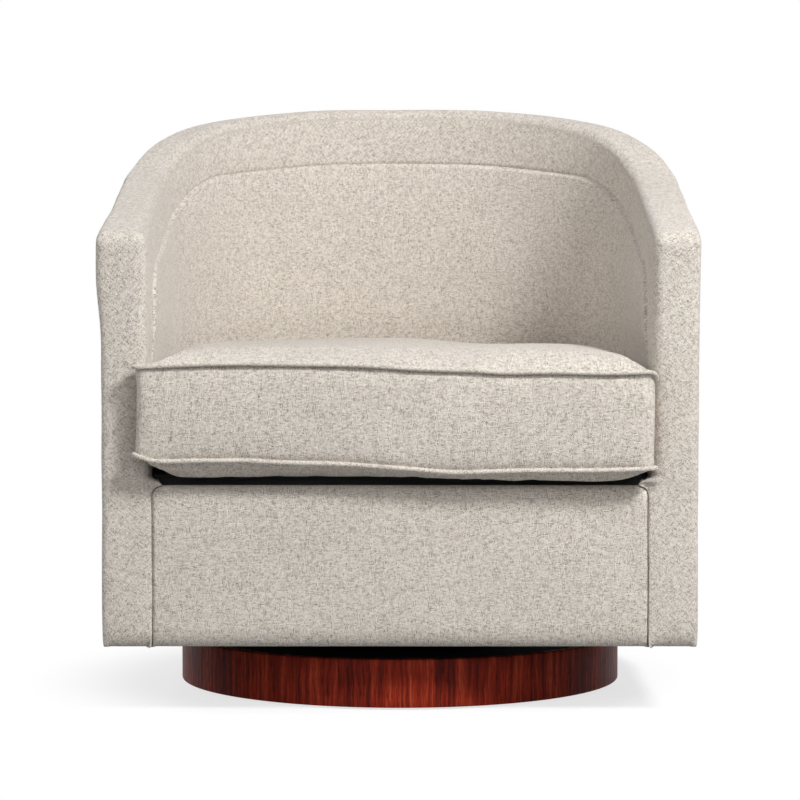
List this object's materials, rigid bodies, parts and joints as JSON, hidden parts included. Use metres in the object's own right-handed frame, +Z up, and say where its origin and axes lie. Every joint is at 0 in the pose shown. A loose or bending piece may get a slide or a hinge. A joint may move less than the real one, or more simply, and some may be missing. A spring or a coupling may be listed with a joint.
{
  "type": "swivel barrel chair",
  "caption": "Upholstered barrel chair with a rounded back that flows into low arms, a loose welted seat cushion and a ball bearing swivel on a round wooden plinth.",
  "frame": {"origin": "on the floor under the swivel axis, which is also the middle of the chair's overall width and depth", "axes": "+Z up along the swivel axis, -Y towards the front of the seat, +X to the right of a person who faces the chair"},
  "size_m": [0.716, 0.73, 0.748],
  "materials": {
    "linen_weave": "matte",
    "rosewood_veneer": "satin",
    "black_board": "matte",
    "plywood": "matte",
    "beech": "matte",
    "foam": "matte",
    "zinc_steel": "satin",
    "spring_steel": "satin",
    "black_cloth": "matte",
    "zip_tape": "matte",
    "nylon_glide": "matte"
  },
  "bodies": {
    "base": {"plinth_band": "rosewood_veneer", "plinth_top_board": "black_board", "plinth_bottom_ring": "plywood", "plinth_rib_x": "plywood", "plinth_rib_y": "plywood", "floor_glide_1": "nylon_glide", "floor_glide_2": "nylon_glide", "floor_glide_3": "nylon_glide", "floor_glide_4": "nylon_glide", "swivel_lower_plate": "zinc_steel", "king_bolt": "zinc_steel", "king_nut": "zinc_steel", "lower_plate_bolt_1": "zinc_steel", "lower_plate_bolt_2": "zinc_steel", "lower_plate_bolt_3": "zinc_steel", "lower_plate_bolt_4": "zinc_steel"},
    "ball_cage": {"swivel_ball_cage": "zinc_steel"},
    "seat": {"swivel_upper_plate": "zinc_steel", "upper_plate_bolt_1": "zinc_steel", "upper_plate_bolt_2": "zinc_steel", "upper_plate_bolt_3": "zinc_steel", "upper_plate_bolt_4": "zinc_steel", "swivel_mount_board": "plywood", "bottom_frame_ring": "plywood", "cross_rail_left": "beech", "cross_rail_right": "beech", "front_seat_rail": "beech", "seat_frame_ring": "plywood", "top_rim_board": "plywood", "front_post_left": "beech", "front_post_right": "beech", "side_post_left": "beech", "side_post_right": "beech", "back_post_left": "beech", "back_post_middle": "beech", "back_post_right": "beech", "seat_spring_1": "spring_steel", "seat_spring_2": "spring_steel", "seat_spring_3": "spring_steel", "seat_spring_4": "spring_steel", "seat_spring_5": "spring_steel", "deck_pad": "foam", "deck_cloth": "linen_weave", "inside_back_foam": "foam", "inside_back_cover": "linen_weave", "border_band": "linen_weave", "outside_arm_left": "linen_weave", "outside_arm_right": "linen_weave", "outside_back": "linen_weave", "front_panel": "linen_weave", "dust_cover": "black_cloth"},
    "cushion": {"cushion_foam": "foam", "cushion_cover": "linen_weave", "cushion_welt_top": "linen_weave", "cushion_welt_bottom": "linen_weave", "cushion_zip": "zip_tape"},
    "zip_slider": {"zip_slider": "zinc_steel"}
  },
  "joints": [
    {"name": "swivel", "type": "hinge", "parent": "base", "child": "seat", "pos_m": [0, 0, 0.0686], "axis": [0, 0, 1], "continuous": true},
    {"name": "ball_cage_turn", "type": "hinge", "parent": "base", "child": "ball_cage", "pos_m": [0, 0, 0.0686], "axis": [0, 0, 1], "continuous": true},
    {"name": "cushion_lift", "type": "slide", "parent": "seat", "child": "cushion", "axis": [0, 0, 1], "range_m": [0, 0.47]},
    {"name": "zip_run", "type": "hinge", "parent": "cushion", "child": "zip_slider", "pos_m": [0, 0.007, 0.3635], "axis": [0, 0, 1], "range_deg": [-48, 0]}
  ],
  "couplings": [
    {"joint": "ball_cage_turn", "follows": "swivel", "ratio": 0.5}
  ]
}
